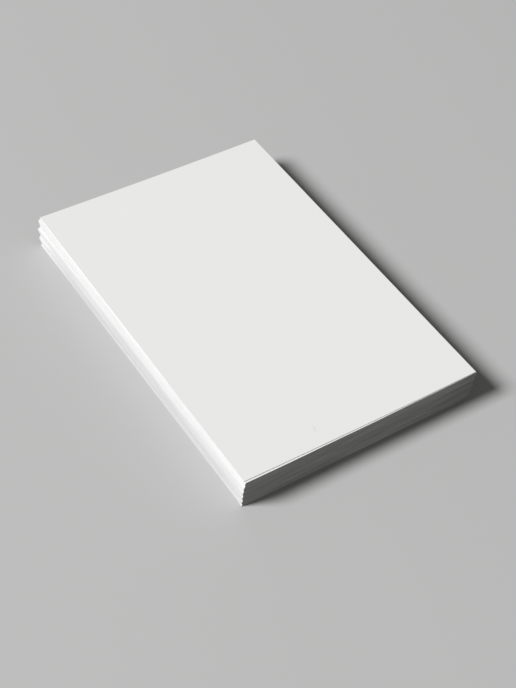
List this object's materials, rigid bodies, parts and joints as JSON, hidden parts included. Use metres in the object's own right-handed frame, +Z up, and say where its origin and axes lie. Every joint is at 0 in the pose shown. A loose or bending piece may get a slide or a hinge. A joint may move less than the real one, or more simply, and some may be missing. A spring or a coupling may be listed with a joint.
{
  "type": "pack of photo paper",
  "caption": "Loose, hand-squared block of blank white photo paper sheets, the top one lying slightly askew; a refill of print stock for a photo printer.",
  "frame": {"origin": "middle of the block's footprint, on the surface the bottom sheet lies on", "axes": "+X along the sheets' short side, +Y along their long side, away from the front edges that were knocked up flush, +Z up through the block"},
  "size_m": [0.103, 0.1534, 0.0146],
  "materials": {
    "photo_paper": "resin-coated, satin to glossy faces with raw cut edges"
  },
  "bodies": {
    "root": {"sheet_01": "photo_paper", "sheet_02": "photo_paper", "sheet_03": "photo_paper", "sheet_04": "photo_paper", "sheet_05": "photo_paper", "sheet_06": "photo_paper", "sheet_07": "photo_paper", "sheet_08": "photo_paper", "sheet_09": "photo_paper", "sheet_10": "photo_paper", "sheet_11": "photo_paper", "sheet_12": "photo_paper", "sheet_13": "photo_paper", "sheet_14": "photo_paper", "sheet_15": "photo_paper", "sheet_16": "photo_paper", "sheet_17": "photo_paper", "sheet_18": "photo_paper", "sheet_19": "photo_paper", "sheet_20": "photo_paper", "sheet_21": "photo_paper", "sheet_22": "photo_paper", "sheet_23": "photo_paper", "sheet_24": "photo_paper", "sheet_25": "photo_paper", "sheet_26": "photo_paper", "sheet_27": "photo_paper", "sheet_28": "photo_paper", "sheet_29": "photo_paper", "sheet_30": "photo_paper", "sheet_31": "photo_paper", "sheet_32": "photo_paper", "sheet_33": "photo_paper", "sheet_34": "photo_paper", "sheet_35": "photo_paper", "sheet_36": "photo_paper", "sheet_37": "photo_paper", "sheet_38": "photo_paper", "sheet_39": "photo_paper", "sheet_40": "photo_paper", "sheet_41": "photo_paper", "sheet_42": "photo_paper", "sheet_43": "photo_paper", "sheet_44": "photo_paper", "sheet_45": "photo_paper", "sheet_46": "photo_paper", "sheet_47": "photo_paper", "sheet_48": "photo_paper", "sheet_49": "photo_paper", "sheet_50": "photo_paper"}
  },
  "joints": []
}
